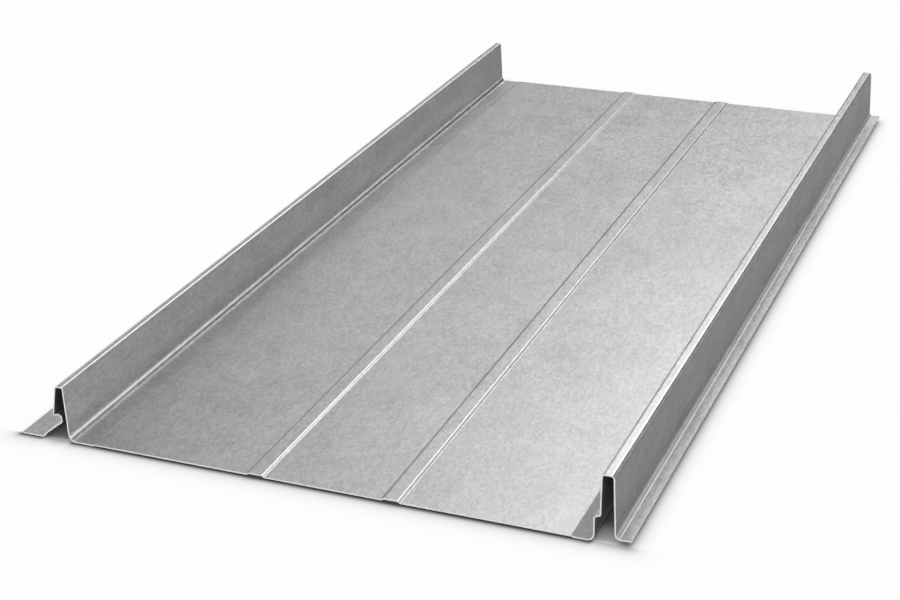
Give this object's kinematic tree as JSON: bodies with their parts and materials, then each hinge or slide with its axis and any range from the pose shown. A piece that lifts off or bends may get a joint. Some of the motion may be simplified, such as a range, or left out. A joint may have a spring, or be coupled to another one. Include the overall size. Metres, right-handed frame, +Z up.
{
  "type": "standing seam roof panel",
  "caption": "Roll-formed galvanised steel roofing panel: flat pan with low stiffening beads, a male rib with snap hook and nail flange on one side, a taller female rib on the other.",
  "frame": {"origin": "middle of the panel's footprint, on the floor that it lies on", "axes": "+X across the panel, from the male rib to the female rib; +Y along the panel's length; +Z up, out of the weather face"},
  "size_m": [0.4574, 0.9, 0.0508],
  "materials": {
    "galvanised_sheet": "satin galvanised with a fine mottled spangle"
  },
  "bodies": {
    "root": {"roof_panel": "galvanised_sheet"}
  },
  "joints": []
}
